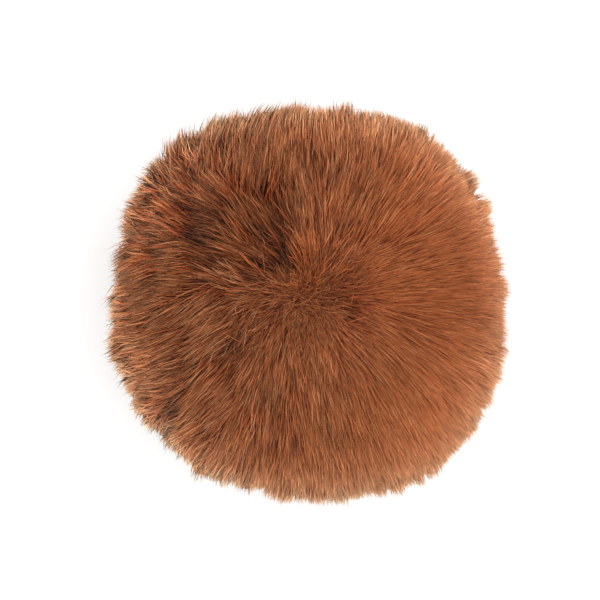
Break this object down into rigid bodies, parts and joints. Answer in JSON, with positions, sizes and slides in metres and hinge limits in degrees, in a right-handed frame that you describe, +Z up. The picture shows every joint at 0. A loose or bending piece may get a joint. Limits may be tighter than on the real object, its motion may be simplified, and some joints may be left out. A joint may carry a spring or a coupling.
{
  "type": "fur pom pom",
  "caption": "Round pom pom of long-pile fur cloth drawn up into a full soft ball. Its pile parts at the crown and lies down the sides, and it rests on its flat gathered back.",
  "frame": {"origin": "middle of the flat spot under the ball, on the surface that it rests on", "axes": "+Z up through the crown, +Y towards the top of its rounded square outline as seen from above, +X to the right"},
  "size_m": [0.1196, 0.1186, 0.1003],
  "materials": {
    "fur": "long soft rust brown pile, paler at its tips"
  },
  "bodies": {
    "root": {"fur_ball": "fur"}
  },
  "joints": []
}
